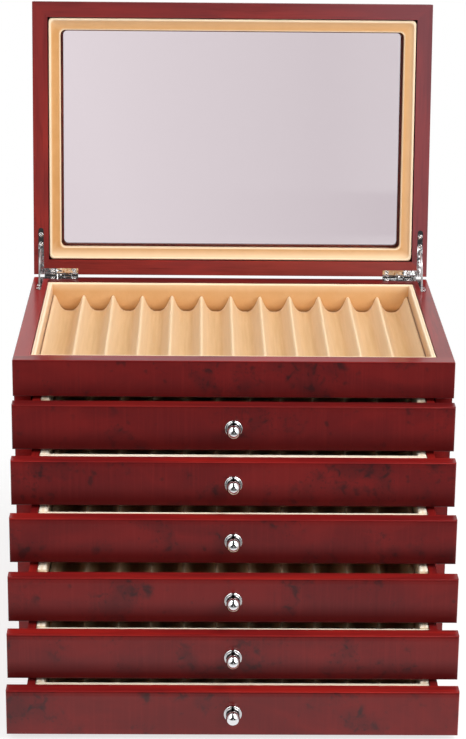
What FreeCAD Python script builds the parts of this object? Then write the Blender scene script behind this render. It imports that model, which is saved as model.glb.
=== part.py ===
"""Pen collector chest: a wooden case with a glazed lid, a top compartment and six drawers.

Units are millimetres. +Z is up, +X is to the right and the drawers pull out towards -Y.
The origin is the middle of the carcass's footprint, on the surface that the chest stands on.
The chest is drawn with its lid open against its stop and its drawers pulled out in steps.
"""
import FreeCAD, Part
import math
import os

V = FreeCAD.Vector
X_AXIS = V(1, 0, 0)
Y_AXIS = V(0, 1, 0)

# ---- driving dimensions: the case -------------------------------------------------------
CHEST_WIDTH = 330.0          # over the side panels, the drawer fronts and the lid
CHEST_DEPTH = 226.0          # closed: from the drawer fronts' faces to the back
WALL = 12.5                  # thickness of the side panels, the top rails and the lid's walls
TOP_RAIL_HEIGHT = 28.4       # rim down to the underside of the top rails
FLOOR_THICKNESS = 3.4        # board under the top compartment
FLOOR_LIFT = 0.2             # floor board's underside above the top rails' underside
SHELF_THICKNESS = 3.5        # boards that the drawers slide on
SHELF_SETBACK = 0.6          # shelves' front edges behind the side panels' front edges
BASE_THICKNESS = 6.0
BACK_THICKNESS = 5.0
HOUSING_DEPTH = 3.0          # how far shelves and floor are let into the side panels
FELT_THICKNESS = 1.0
FELT_INSET = 4.0
EDGE_RADIUS = 0.8            # softened outer edges of the case
CLOSING_GAP = 0.3            # behind a closed drawer front

# ---- driving dimensions: the drawers ----------------------------------------------------
DRAWER_PULLS = [14.2, 32.9, 54.0, 76.9, 95.0, 111.2]   # how far each is out, from the top
LINER_DROPS = [3.0, 0.1, 0.6, 3.0, 0.6, 0.1]           # how low each front lining strip sits
FRONT_HEIGHT = 35.05
FRONT_THICKNESS = 11.0
FRONT_GAP = 2.1              # between one front and the next
FRONT_RADIUS = 1.2           # softened edges of the front's face
RAIL_LIP = 2.2               # a shelf's top above the lower edge of the front before it
BOX_SIDE_SLACK = 2.2         # between a drawer's side and the side panel
BOX_BACK_SLACK = 2.0         # between a closed drawer's back and the back panel
BOX_TOP_DROP = 0.2           # top edge of the box below the top edge of the front
RUNNING_GAP = 0.25           # under a drawer box
BOX_SIDE = 5.7
BOX_BACK = 5.5
BOX_BOTTOM = 3.0
DRAWER_LINER = 7.0           # padded lining strips inside the box

# ---- driving dimensions: pen trays ------------------------------------------------------
GROOVE_PITCH = 24.45
RIDGE_WIDTH = 3.6            # rounded crest between two grooves
TRAY_EDGE_RADIUS = 0.6       # upper side edges of a tray
GROOVE_STRAIGHT = 0.7        # upright wall above the groove's half round
TOP_TRAY_BASE = 1.4          # card under the lowest point of a groove
DRAWER_TRAY_BASE = 3.6
TRAY_SIDE_GAP = 0.8          # dark line between a tray and the lining beside it
TRAY_END_GAP = 0.3
TOP_LINER = 4.2              # lining of the top compartment
TOP_LINER_DROP = 0.6         # lining's top edge below the rim

# ---- driving dimensions: the lid --------------------------------------------------------
LID_HEIGHT = 26.5
LID_GAP = 0.6                # between the closed lid and the rim
LIP_WIDTH = 24.0             # outer edge of the lid to the edge of its window
LIP_THICKNESS = 5.5
LID_RADIUS = 3.0             # rounded outer top edges of the lid
WINDOW_RADIUS = 3.5          # corners of the window
GLASS_THICKNESS = 3.0
GLASS_SLACK = 0.5            # between the pane's edge and the lid's wall
LID_LINER = 10.5             # width of the padded frame that holds the pane
LID_LINER_DROP = 0.6         # padded frame's face inside the lid's rim
LID_LINER_RADIUS = 1.6
LID_OPEN_ANGLE = 97.9        # from closed to the stop

# ---- driving dimensions: hinges and stays -----------------------------------------------
AXIS_BEHIND = 1.5            # hinge axis behind the chest's back face
KNUCKLE_RADIUS = 2.5
KNUCKLE_COUNT = 5
KNUCKLE_GAP = 0.15           # between neighbouring knuckles
PIN_RADIUS = 1.0
PIN_FIT = 0.05               # radial clearance of the pin
BARREL_INSET = 9.0           # outer face of the chest to the barrel's outer end
BARREL_LENGTH = 28.0
PLATE_THICKNESS = 1.2
BACK_LEG_WIDTH = 5.2         # leg of the hinge plate along the rear rim
SIDE_LEG_WIDTH = 4.4         # leg along the side rim
SIDE_LEG_INSET = 6.1         # outer face of the chest to the middle of the side leg
SWING_CLEARANCE = 0.4        # around whatever turns past a knuckle
STAY_WIDTH = 3.2
STAY_THICKNESS = 1.2
STAY_CLEARANCE = 0.4
STOP_PIN_RADIUS = 0.9        # cross pin at each end of the stay
STOP_PIN_LENGTH = 2.8
STOP_PIN_GAP = 0.2           # between a pin and the plate that stops it
STAY_END_MARGIN = 1.2        # bar beyond the middle of its cross pin
STAY_MITRE_MARGIN = 0.6      # wood between the stay's pocket and the lid's corner mitre

# ---- driving dimensions: screws and knobs -----------------------------------------------
HINGE_SCREW_LENGTH = 9.0
HINGE_SCREW_RADIUS = 0.9
HINGE_HEAD_RADIUS = 1.8
SCREW_FIT = 0.05
CROSS_WIDTH = 0.45           # cross recess in a screw's head
CROSS_SPAN = 2.0
CROSS_DEPTH = 0.5
SCREW_END_MARGIN = 3.2       # first screw from the end of a back leg
SIDE_LEG_END_MARGIN = 5.6    # first screw from the round end of a side leg
SCREW_SPACING = 8.0          # along a side leg
SCREW_SLOT_MARGIN = 3.0      # second screw of a side leg from the stay's slot
BACK_SCREW_SPACING = 18.0    # along a back leg
BACK_SCREW_OFFSET = 0.6      # screws in front of the back leg's middle line
KNOB_FLANGE_RADIUS = 6.65
KNOB_FLANGE_THICKNESS = 1.5
KNOB_NECK_RADIUS = 2.9
KNOB_FLARE_LENGTH = 2.0      # cone from the flange down to the neck
KNOB_BALL_RADIUS = 5.1
KNOB_BALL_DISTANCE = 7.6     # front's face to the middle of the ball
KNOB_SCREW_RADIUS = 1.5
KNOB_SCREW_REACH = 5.0       # how far the screw goes into the knob
KNOB_HEAD_RADIUS = 3.2
KNOB_HEAD_HEIGHT = 1.8
KNOB_HEAD_SINK = 2.4         # counterbore in the back of the front
KNOB_HEAD_SLACK = 0.5

# ---- drawing constants ------------------------------------------------------------------
SAME = 1e-6                  # two places closer than this are one place
OVERRUN = 1.0                # cutting tools run this far past a face

# ---- derived places ---------------------------------------------------------------------
DRAWER_COUNT = len(DRAWER_PULLS)
HALF_WIDTH = CHEST_WIDTH / 2
INNER_HALF = HALF_WIDTH - WALL
FRONT_Y = -CHEST_DEPTH / 2
BACK_Y = CHEST_DEPTH / 2
DRAWER_PITCH = FRONT_HEIGHT + FRONT_GAP
CASE_BOTTOM = FELT_THICKNESS
LOWEST_FRONT = CASE_BOTTOM + BASE_THICKNESS - RAIL_LIP
RAIL_BOTTOM = LOWEST_FRONT + DRAWER_COUNT * DRAWER_PITCH
RIM = RAIL_BOTTOM + TOP_RAIL_HEIGHT
SIDE_FRONT_Y = FRONT_Y + FRONT_THICKNESS + CLOSING_GAP
SHELF_FRONT_Y = SIDE_FRONT_Y + SHELF_SETBACK
BACK_PANEL_Y = BACK_Y - BACK_THICKNESS
TOP_FRONT_Y = FRONT_Y + WALL
TOP_BACK_Y = BACK_Y - WALL
FLOOR_BOTTOM = RAIL_BOTTOM + FLOOR_LIFT
FLOOR_TOP = FLOOR_BOTTOM + FLOOR_THICKNESS
AXIS_Y = BACK_Y + AXIS_BEHIND
AXIS_Z = RIM + LID_GAP / 2
LID_RIM = RIM + LID_GAP
LID_TOP = LID_RIM + LID_HEIGHT
BOX_HALF = INNER_HALF - BOX_SIDE_SLACK
BOX_LENGTH = BACK_PANEL_Y - BOX_BACK_SLACK - FRONT_Y - FRONT_THICKNESS
BARREL_OUTER_X = HALF_WIDTH - BARREL_INSET
BARREL_INNER_X = BARREL_OUTER_X - BARREL_LENGTH
SIDE_LEG_X = HALF_WIDTH - SIDE_LEG_INSET
STAY_POCKET_HALF = STOP_PIN_LENGTH / 2 + STAY_CLEARANCE
MITRE_Y = BACK_Y - HALF_WIDTH + SIDE_LEG_X - STAY_POCKET_HALF
STOP_PIN_DEPTH = LID_GAP / 2 + PLATE_THICKNESS + STOP_PIN_RADIUS + STOP_PIN_GAP
STAY_TAIL = STOP_PIN_DEPTH + STAY_END_MARGIN + STAY_CLEARANCE
HALF_SWING = math.radians(LID_OPEN_ANGLE / 2)
STAY_RADIUS = ((AXIS_Y - MITRE_Y + STAY_MITRE_MARGIN + STAY_TAIL * math.sin(HALF_SWING))
               / math.cos(HALF_SWING) + STAY_CLEARANCE + STAY_WIDTH / 2)
STAY_SLOT_Y = AXIS_Y - STAY_RADIUS - STAY_WIDTH / 2 - STAY_CLEARANCE
SIDE_SCREW_Y = STAY_SLOT_Y - SCREW_SLOT_MARGIN
SIDE_LEG_FRONT_Y = SIDE_SCREW_Y - SCREW_SPACING - SIDE_LEG_END_MARGIN
BACK_LEG_FRONT_Y = BACK_Y - BACK_LEG_WIDTH


# ---- helpers ----------------------------------------------------------------------------
def block(x0, x1, y0, y1, z0, z1):
    """A board between two corners."""
    return Part.makeBox(x1 - x0, y1 - y0, z1 - z0, V(x0, y0, z0))


def rod(radius, length, start, direction):
    return Part.makeCylinder(radius, length, start, direction)


def prism(points, height):
    """Upright solid over a closed outline in a level plane."""
    outline = Part.makePolygon(points + [points[0]])
    return Part.Face(outline).extrude(V(0, 0, height))


def eased(shape, radius, chosen):
    """Round the edges whose middle point the test picks."""
    edges = [edge for edge in shape.Edges if chosen(edge.CenterOfMass)]
    return shape.makeFillet(radius, edges)


def near(value, target):
    return abs(value - target) < SAME


def joined(pieces):
    """One solid from overlapping pieces."""
    shape = pieces[0]
    for piece in pieces[1:]:
        shape = shape.fuse(piece)
    return shape.removeSplitter()


def without(shape, tools):
    for tool in tools:
        shape = shape.cut(tool)
    return shape


def mirrored(shape):
    """The same piece on the other side of the chest."""
    return shape.mirror(V(0, 0, 0), X_AXIS)


def both_sides(shapes):
    return shapes + [mirrored(shape) for shape in shapes]


def about_hinge(shape, angle):
    """Turn a piece about the hinge axis; a positive angle opens the lid."""
    turned = shape.copy()
    turned.rotate(V(0, AXIS_Y, AXIS_Z), X_AXIS, -angle)
    return turned


def save(name, solids):
    shape = solids[0] if len(solids) == 1 else Part.makeCompound(solids)
    shape.exportStep("parts/" + name + ".step")


# ---- hinges and stays -------------------------------------------------------------------
def knuckle_spans():
    """Start and end of each knuckle along the right barrel, from its inner end."""
    length = BARREL_LENGTH / KNUCKLE_COUNT
    spans = []
    for index in range(KNUCKLE_COUNT):
        start = BARREL_INNER_X + index * length
        spans.append((start, start + length))
    return spans


def barrel_piece(span, radius, grow):
    start = V(span[0] - grow, AXIS_Y, AXIS_Z)
    return rod(radius, span[1] - span[0] + 2 * grow, start, X_AXIS)


def side_leg_outline(z0, z1, grow):
    """Round-ended leg along the side rim."""
    half = SIDE_LEG_WIDTH / 2 + grow
    centre_y = SIDE_LEG_FRONT_Y + SIDE_LEG_WIDTH / 2
    bar = block(SIDE_LEG_X - half, SIDE_LEG_X + half, centre_y, BACK_Y, z0, z1)
    end = rod(half, z1 - z0, V(SIDE_LEG_X, centre_y, z0), V(0, 0, 1))
    return bar.fuse(end)


def plate_shape(z0, z1, grow):
    """L-shaped hinge plate let into a rim, or the recess for it."""
    outer_x = SIDE_LEG_X + SIDE_LEG_WIDTH / 2 + grow
    inner_x = BARREL_INNER_X - grow
    back_leg = block(inner_x, outer_x, BACK_LEG_FRONT_Y - grow, BACK_Y, z0, z1)
    return back_leg.fuse(side_leg_outline(z0, z1, grow))


def screw_places():
    """Screws of one hinge plate, as seen on the rim."""
    back_x = BARREL_INNER_X + SCREW_END_MARGIN
    back_y = BACK_LEG_FRONT_Y + BACK_LEG_WIDTH / 2 - BACK_SCREW_OFFSET
    return [
        (SIDE_LEG_X, SIDE_SCREW_Y),
        (SIDE_LEG_X, SIDE_SCREW_Y - SCREW_SPACING),
        (back_x, back_y),
        (back_x + BACK_SCREW_SPACING, back_y),
    ]


def countersink(x, y, face_z, downward, fit):
    """Cone under a flat screw head whose top lies in the plate's face."""
    depth = HINGE_HEAD_RADIUS - HINGE_SCREW_RADIUS
    direction = V(0, 0, -downward)
    return Part.makeCone(HINGE_HEAD_RADIUS + fit, HINGE_SCREW_RADIUS + fit, depth,
                         V(x, y, face_z), direction)


def screw_body(x, y, face_z, downward, fit):
    shank = rod(HINGE_SCREW_RADIUS + fit, HINGE_SCREW_LENGTH + fit, V(x, y, face_z),
                V(0, 0, -downward))
    return countersink(x, y, face_z, downward, fit).fuse(shank)


def cross_recess(x, y, face_z, downward):
    """Cross cut into a screw's head."""
    low = face_z - CROSS_DEPTH if downward > 0 else face_z
    half_span = CROSS_SPAN / 2
    half_width = CROSS_WIDTH / 2
    long_x = block(x - half_span, x + half_span, y - half_width, y + half_width,
                   low, low + CROSS_DEPTH)
    long_y = block(x - half_width, x + half_width, y - half_span, y + half_span,
                   low, low + CROSS_DEPTH)
    return long_x.fuse(long_y)


def stay_slot(grow):
    """Slot in a side leg for the curved stay to pass through."""
    half_x = STAY_THICKNESS / 2 + grow
    half_y = STAY_WIDTH / 2 + grow
    middle_y = AXIS_Y - STAY_RADIUS
    reach = PLATE_THICKNESS + LID_GAP
    return block(SIDE_LEG_X - half_x, SIDE_LEG_X + half_x, middle_y - half_y,
                 middle_y + half_y, RIM - reach, LID_RIM + reach)


def arc_bar(x0, x1, inner, outer, start_angle, end_angle):
    """Curved bar about the hinge axis; 0 degrees points to the front, 90 degrees up."""
    bar = Part.makeCylinder(outer, x1 - x0, V(x0, AXIS_Y, AXIS_Z), X_AXIS)
    bar = bar.cut(Part.makeCylinder(inner, x1 - x0, V(x0, AXIS_Y, AXIS_Z), X_AXIS))
    reach = 2 * outer
    middle = math.radians((start_angle + end_angle) / 2)
    points = [V(x0, AXIS_Y, AXIS_Z)]
    for angle in (math.radians(start_angle), middle, math.radians(end_angle)):
        points.append(V(x0, AXIS_Y - reach * math.cos(angle), AXIS_Z + reach * math.sin(angle)))
    wedge = Part.Face(Part.makePolygon(points + [points[0]])).extrude(V(x1 - x0, 0, 0))
    return bar.common(wedge)


def stop_pin_angle():
    """Angle past each rim at which a cross pin bears on the plate when the lid is open."""
    return math.degrees(math.asin(STOP_PIN_DEPTH / STAY_RADIUS))


def stay_tail_angle():
    """Angle past each rim at which the bar ends."""
    return stop_pin_angle() + math.degrees(STAY_END_MARGIN / STAY_RADIUS)


def stay():
    """Right stay: a curved bar with a cross pin near each end."""
    half = STAY_THICKNESS / 2
    inner = STAY_RADIUS - STAY_WIDTH / 2
    outer = STAY_RADIUS + STAY_WIDTH / 2
    pieces = [arc_bar(SIDE_LEG_X - half, SIDE_LEG_X + half, inner, outer,
                      -stay_tail_angle(), LID_OPEN_ANGLE + stay_tail_angle())]
    for degrees in (-stop_pin_angle(), LID_OPEN_ANGLE + stop_pin_angle()):
        angle = math.radians(degrees)
        y = AXIS_Y - STAY_RADIUS * math.cos(angle)
        z = AXIS_Z + STAY_RADIUS * math.sin(angle)
        pieces.append(rod(STOP_PIN_RADIUS, STOP_PIN_LENGTH,
                          V(SIDE_LEG_X - STOP_PIN_LENGTH / 2, y, z), X_AXIS))
    return joined(pieces)


def stay_pocket():
    """Room for half of the stay in each side wall, drawn with the lid closed."""
    swing = LID_OPEN_ANGLE / 2 + stay_tail_angle()
    extra = math.degrees(STAY_CLEARANCE / STAY_RADIUS)
    inner = STAY_RADIUS - STAY_WIDTH / 2 - STAY_CLEARANCE
    outer = STAY_RADIUS + STAY_WIDTH / 2 + STAY_CLEARANCE
    return arc_bar(SIDE_LEG_X - STAY_POCKET_HALF, SIDE_LEG_X + STAY_POCKET_HALF, inner, outer,
                   -swing - extra, swing + extra)


def hinge_plate(body_side):
    """Right hinge plate with its knuckles: every other knuckle belongs to the body."""
    face_z = RIM if body_side else LID_RIM
    downward = 1 if body_side else -1
    z0 = RIM - PLATE_THICKNESS if body_side else LID_RIM
    plate = plate_shape(z0, z0 + PLATE_THICKNESS, 0)
    own = []
    other = []
    for index, span in enumerate(knuckle_spans()):
        is_body = index % 2 == 0
        (own if is_body == body_side else other).append(span)
    swing = [barrel_piece(span, KNUCKLE_RADIUS + SWING_CLEARANCE, KNUCKLE_GAP) for span in other]
    plate = without(plate, swing)
    knuckles = [barrel_piece(span, KNUCKLE_RADIUS, -KNUCKLE_GAP / 2) for span in own]
    plate = joined([plate] + knuckles)
    bore = barrel_piece((BARREL_INNER_X, BARREL_OUTER_X), PIN_RADIUS + PIN_FIT, OVERRUN)
    sinks = [screw_body(x, y, face_z, downward, SCREW_FIT) for x, y in screw_places()]
    return without(plate, [bore, stay_slot(STAY_CLEARANCE)] + sinks)


def hinge_screws(face_z, downward):
    """The four screws of the right hinge plate."""
    screws = []
    for x, y in screw_places():
        screw = screw_body(x, y, face_z, downward, 0)
        screws.append(screw.cut(cross_recess(x, y, face_z, downward)))
    return screws


def hinge_cuts(face_z, downward):
    """What the woodwork gives up to both hinges: recess, barrel notch, pocket and pilot holes."""
    z0 = RIM - PLATE_THICKNESS if downward > 0 else LID_RIM
    notch = barrel_piece((BARREL_INNER_X, BARREL_OUTER_X), KNUCKLE_RADIUS + SWING_CLEARANCE,
                         KNUCKLE_GAP)
    cuts = [plate_shape(z0, z0 + PLATE_THICKNESS, SCREW_FIT), notch, stay_pocket()]
    for x, y in screw_places():
        cuts.append(screw_body(x, y, face_z, downward, SCREW_FIT))
    return both_sides(cuts)


# ---- case -------------------------------------------------------------------------------
def front_bottom(index):
    """Lower edge of a drawer front; drawer 0 is the top one."""
    return LOWEST_FRONT + (DRAWER_COUNT - 1 - index) * DRAWER_PITCH


def shelf_levels():
    """Underside of each shelf between two drawers."""
    return [front_bottom(index) + RAIL_LIP - SHELF_THICKNESS for index in range(DRAWER_COUNT - 1)]


def side_panel(cuts):
    """Right side panel: it stands behind the drawer fronts and behind the top front rail."""
    panel = block(INNER_HALF, HALF_WIDTH, SIDE_FRONT_Y, BACK_Y, CASE_BOTTOM, RIM)
    panel = eased(panel, EDGE_RADIUS, lambda c: near(c.x, HALF_WIDTH)
                  and (near(c.y, BACK_Y) or near(c.z, RIM)))
    housings = [block(INNER_HALF, HALF_WIDTH, SIDE_FRONT_Y, TOP_FRONT_Y, RAIL_BOTTOM, RIM)]
    housed_x = INNER_HALF + HOUSING_DEPTH
    for level in shelf_levels():
        housings.append(block(INNER_HALF, housed_x, SHELF_FRONT_Y, BACK_PANEL_Y,
                              level, level + SHELF_THICKNESS))
    housings.append(block(INNER_HALF, housed_x, TOP_FRONT_Y, TOP_BACK_Y, FLOOR_BOTTOM, FLOOR_TOP))
    return without(panel, housings + cuts)


def make_case(cuts):
    side = side_panel(cuts)
    save("side_panel_right", [side])
    save("side_panel_left", [mirrored(side)])

    front_rail = block(-HALF_WIDTH, HALF_WIDTH, FRONT_Y, TOP_FRONT_Y, RAIL_BOTTOM, RIM)
    front_rail = eased(front_rail, EDGE_RADIUS, lambda c: near(c.y, FRONT_Y)
                       or (near(abs(c.x), HALF_WIDTH) and near(c.z, RIM)))
    save("top_front_rail", [front_rail])

    back_rail = block(-INNER_HALF, INNER_HALF, TOP_BACK_Y, BACK_Y, RAIL_BOTTOM, RIM)
    save("top_back_rail", [without(back_rail, cuts)])

    back = block(-INNER_HALF, INNER_HALF, BACK_PANEL_Y, BACK_Y, CASE_BOTTOM, RAIL_BOTTOM)
    save("back_panel", [back])

    base_top = CASE_BOTTOM + BASE_THICKNESS
    base = block(-INNER_HALF, INNER_HALF, SIDE_FRONT_Y, BACK_PANEL_Y, CASE_BOTTOM, base_top)
    save("base_panel", [base])

    felt = block(-HALF_WIDTH + FELT_INSET, HALF_WIDTH - FELT_INSET, SIDE_FRONT_Y + FELT_INSET,
                 BACK_Y - FELT_INSET, 0, FELT_THICKNESS)
    save("base_felt", [felt])

    housed_half = INNER_HALF + HOUSING_DEPTH
    shelves = [block(-housed_half, housed_half, SHELF_FRONT_Y, BACK_PANEL_Y,
                     level, level + SHELF_THICKNESS) for level in shelf_levels()]
    save("drawer_shelves", shelves)

    floor = block(-housed_half, housed_half, TOP_FRONT_Y, TOP_BACK_Y, FLOOR_BOTTOM, FLOOR_TOP)
    save("compartment_floor", [floor])


# ---- linings and pen trays --------------------------------------------------------------
def lining(half_x, y0, y1, z0, z1, thickness, front_drop):
    """Four padded strips that stand inside a box; the front and back ones are full length."""
    front = block(-half_x, half_x, y0, y0 + thickness, z0, z1 - front_drop)
    back = block(-half_x, half_x, y1 - thickness, y1, z0, z1)
    right = block(half_x - thickness, half_x, y0 + thickness, y1 - thickness, z0, z1)
    return [front, back, right, mirrored(right)]


def arc_edge(centre_x, centre_z, radius, start, end):
    """Arc in the upright plane across the tray; angles in degrees from +X towards +Z."""
    points = []
    for angle in (start, (start + end) / 2, end):
        turn = math.radians(angle)
        points.append(V(centre_x + radius * math.cos(turn), 0, centre_z + radius * math.sin(turn)))
    return Part.Arc(points[0], points[1], points[2]).toShape()


def groove_count(half_x):
    """As many whole grooves as the tray's width takes."""
    return int(2 * (half_x - TRAY_EDGE_RADIUS) / GROOVE_PITCH)


def tray_profile(half_x, base):
    """Closed outline of a tray with half-round grooves between rounded crests."""
    count = groove_count(half_x)
    crest = RIDGE_WIDTH / 2
    radius = GROOVE_PITCH / 2 - crest
    centre_z = base + radius
    shoulder_z = centre_z + GROOVE_STRAIGHT
    crest_z = shoulder_z + crest
    edge_x = half_x - TRAY_EDGE_RADIUS
    edge_z = crest_z - TRAY_EDGE_RADIUS
    first_x = -count * GROOVE_PITCH / 2
    has_land = not near(edge_x, -first_x)
    edges = []

    def line(x0, z0, x1, z1):
        edges.append(Part.LineSegment(V(x0, 0, z0), V(x1, 0, z1)).toShape())

    line(-half_x, 0, -half_x, edge_z)
    edges.append(arc_edge(-edge_x, edge_z, TRAY_EDGE_RADIUS, 180, 90))
    if has_land:
        line(-edge_x, crest_z, first_x, crest_z)
    for index in range(count):
        ridge_x = first_x + index * GROOVE_PITCH
        middle_x = ridge_x + GROOVE_PITCH / 2
        next_x = ridge_x + GROOVE_PITCH
        edges.append(arc_edge(ridge_x, shoulder_z, crest, 90, 0))
        line(ridge_x + crest, shoulder_z, ridge_x + crest, centre_z)
        edges.append(arc_edge(middle_x, centre_z, radius, 180, 360))
        line(next_x - crest, centre_z, next_x - crest, shoulder_z)
        edges.append(arc_edge(next_x, shoulder_z, crest, 180, 90))
    if has_land:
        line(-first_x, crest_z, edge_x, crest_z)
    edges.append(arc_edge(edge_x, edge_z, TRAY_EDGE_RADIUS, 90, 0))
    line(half_x, edge_z, half_x, 0)
    line(half_x, 0, -half_x, 0)
    return Part.Wire(edges)


def pen_tray(half_x, base, y0, y1, z0):
    face = Part.Face(tray_profile(half_x, base))
    tray = face.extrude(V(0, y1 - y0, 0))
    tray.translate(V(0, y0, z0))
    return tray


def make_top_compartment():
    top_z = RIM - TOP_LINER_DROP
    strips = lining(INNER_HALF, TOP_FRONT_Y, TOP_BACK_Y, FLOOR_TOP, top_z, TOP_LINER, 0)
    save("compartment_lining", strips)
    gap = TOP_LINER + TRAY_END_GAP
    tray = pen_tray(INNER_HALF - TOP_LINER - TRAY_SIDE_GAP, TOP_TRAY_BASE,
                    TOP_FRONT_Y + gap, TOP_BACK_Y - gap, FLOOR_TOP)
    save("compartment_tray", [tray])


# ---- drawers ----------------------------------------------------------------------------
def drawer_front(face_y, z0):
    """Front board with a counterbored hole for the knob's screw."""
    back_y = face_y + FRONT_THICKNESS
    z1 = z0 + FRONT_HEIGHT
    board = block(-HALF_WIDTH, HALF_WIDTH, face_y, back_y, z0, z1)
    board = eased(board, FRONT_RADIUS, lambda c: near(c.y, face_y))
    middle_z = (z0 + z1) / 2
    hole = rod(KNOB_SCREW_RADIUS + SCREW_FIT, FRONT_THICKNESS, V(0, face_y, middle_z), Y_AXIS)
    sink = rod(KNOB_HEAD_RADIUS + KNOB_HEAD_SLACK, KNOB_HEAD_SINK,
               V(0, back_y - KNOB_HEAD_SINK, middle_z), Y_AXIS)
    return without(board, [hole, sink])


def knob(face_y, middle_z):
    """Turned knob: a flange, a waist and a ball, with a blind hole for its screw."""
    out = V(0, -1, 0)
    foot = V(0, face_y, middle_z)
    flange = rod(KNOB_FLANGE_RADIUS, KNOB_FLANGE_THICKNESS, foot, out)
    outer_y = face_y - KNOB_FLANGE_THICKNESS
    flange = eased(flange, KNOB_FLANGE_THICKNESS / 2, lambda c: near(c.y, outer_y))
    waist_length = KNOB_BALL_DISTANCE - KNOB_FLANGE_THICKNESS
    flare = Part.makeCone(KNOB_FLANGE_RADIUS - KNOB_FLANGE_THICKNESS, KNOB_NECK_RADIUS,
                          KNOB_FLARE_LENGTH, V(0, outer_y, middle_z), out)
    waist = rod(KNOB_NECK_RADIUS, waist_length, V(0, outer_y, middle_z), out)
    ball = Part.makeSphere(KNOB_BALL_RADIUS, V(0, face_y - KNOB_BALL_DISTANCE, middle_z))
    turned = joined([flange, flare, waist, ball])
    bore = rod(KNOB_SCREW_RADIUS + SCREW_FIT, KNOB_SCREW_REACH + SCREW_FIT, foot, out)
    return turned.cut(bore)


def knob_screw(face_y, middle_z):
    """Screw from inside the drawer, with its domed head in the counterbore."""
    seat_y = face_y + FRONT_THICKNESS - KNOB_HEAD_SINK
    reach = KNOB_SCREW_REACH + FRONT_THICKNESS - KNOB_HEAD_SINK
    shank = rod(KNOB_SCREW_RADIUS, reach, V(0, seat_y, middle_z), V(0, -1, 0))
    head = rod(KNOB_HEAD_RADIUS, KNOB_HEAD_HEIGHT, V(0, seat_y, middle_z), Y_AXIS)
    head = eased(head, KNOB_HEAD_HEIGHT / 2, lambda c: near(c.y, seat_y + KNOB_HEAD_HEIGHT))
    return joined([shank, head])


def make_drawer(index):
    name = "drawer_%d_" % (index + 1)
    face_y = FRONT_Y - DRAWER_PULLS[index]
    front_z = front_bottom(index)
    middle_z = front_z + FRONT_HEIGHT / 2
    save(name + "front", [drawer_front(face_y, front_z)])
    save(name + "knob", [knob(face_y, middle_z), knob_screw(face_y, middle_z)])

    y0 = face_y + FRONT_THICKNESS
    y1 = y0 + BOX_LENGTH
    z0 = front_z + RAIL_LIP + RUNNING_GAP
    z1 = front_z + FRONT_HEIGHT - BOX_TOP_DROP
    inner = BOX_HALF - BOX_SIDE
    side = block(inner, BOX_HALF, y0, y1, z0, z1)
    back = block(-inner, inner, y1 - BOX_BACK, y1, z0, z1)
    save(name + "walls", [side, mirrored(side), back])

    bottom_top = z0 + BOX_BOTTOM
    save(name + "bottom", [block(-inner, inner, y0, y1 - BOX_BACK, z0, bottom_top)])

    strips = lining(inner, y0, y1 - BOX_BACK, bottom_top, z1, DRAWER_LINER, LINER_DROPS[index])
    save(name + "lining", strips)
    gap = DRAWER_LINER + TRAY_END_GAP
    tray = pen_tray(inner - DRAWER_LINER - TRAY_SIDE_GAP, DRAWER_TRAY_BASE,
                    y0 + gap, y1 - BOX_BACK - gap, bottom_top)
    save(name + "tray", [tray])


# ---- lid, drawn closed and then turned open ---------------------------------------------
def mitre_wedges(inset):
    """Upright wedges that split a rectangular frame at its corners: front, back and right."""
    x1 = HALF_WIDTH - inset
    y0 = FRONT_Y + inset
    y1 = BACK_Y - inset
    half_depth = (y1 - y0) / 2
    middle_y = (y0 + y1) / 2
    height = 2 * LID_HEIGHT
    z = LID_RIM - LID_HEIGHT / 2
    ridge_x = x1 - half_depth
    front = prism([V(-x1, y0, z), V(x1, y0, z), V(ridge_x, middle_y, z), V(-ridge_x, middle_y, z)],
                  height)
    back = prism([V(-x1, y1, z), V(x1, y1, z), V(ridge_x, middle_y, z), V(-ridge_x, middle_y, z)],
                 height)
    right = prism([V(x1, y0, z), V(x1, y1, z), V(ridge_x, middle_y, z)], height)
    return front, back, right


def lid_frame(cuts):
    """The whole wooden lid frame before it is split into its four rails."""
    frame = block(-HALF_WIDTH, HALF_WIDTH, FRONT_Y, BACK_Y, LID_RIM, LID_TOP)
    frame = eased(frame, LID_RADIUS, lambda c: near(c.z, LID_TOP))
    cavity = block(-INNER_HALF, INNER_HALF, TOP_FRONT_Y, TOP_BACK_Y, LID_RIM,
                   LID_TOP - LIP_THICKNESS)
    x1 = HALF_WIDTH - LIP_WIDTH
    middle_z = (LID_RIM + LID_TOP) / 2
    window = block(-x1, x1, FRONT_Y + LIP_WIDTH, BACK_Y - LIP_WIDTH, LID_RIM, LID_TOP)
    window = eased(window, WINDOW_RADIUS, lambda c: near(abs(c.x), x1) and near(c.z, middle_z))
    return without(frame, [cavity, window] + cuts)


def lid_lining():
    """Padded frame that holds the pane, in four mitred strips."""
    z0 = LID_RIM + LID_LINER_DROP
    z1 = LID_TOP - LIP_THICKNESS - GLASS_THICKNESS
    outer = block(-INNER_HALF, INNER_HALF, TOP_FRONT_Y, TOP_BACK_Y, z0, z1)
    x1 = INNER_HALF - LID_LINER
    y0 = TOP_FRONT_Y + LID_LINER
    y1 = TOP_BACK_Y - LID_LINER
    ring = outer.cut(block(-x1, x1, y0, y1, z0, z1))
    ring = eased(ring, LID_LINER_RADIUS, lambda c: near(c.z, z0))
    front, back, right = mitre_wedges(WALL)
    side = ring.common(right)
    return [ring.common(front), ring.common(back), side, mirrored(side)]


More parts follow.
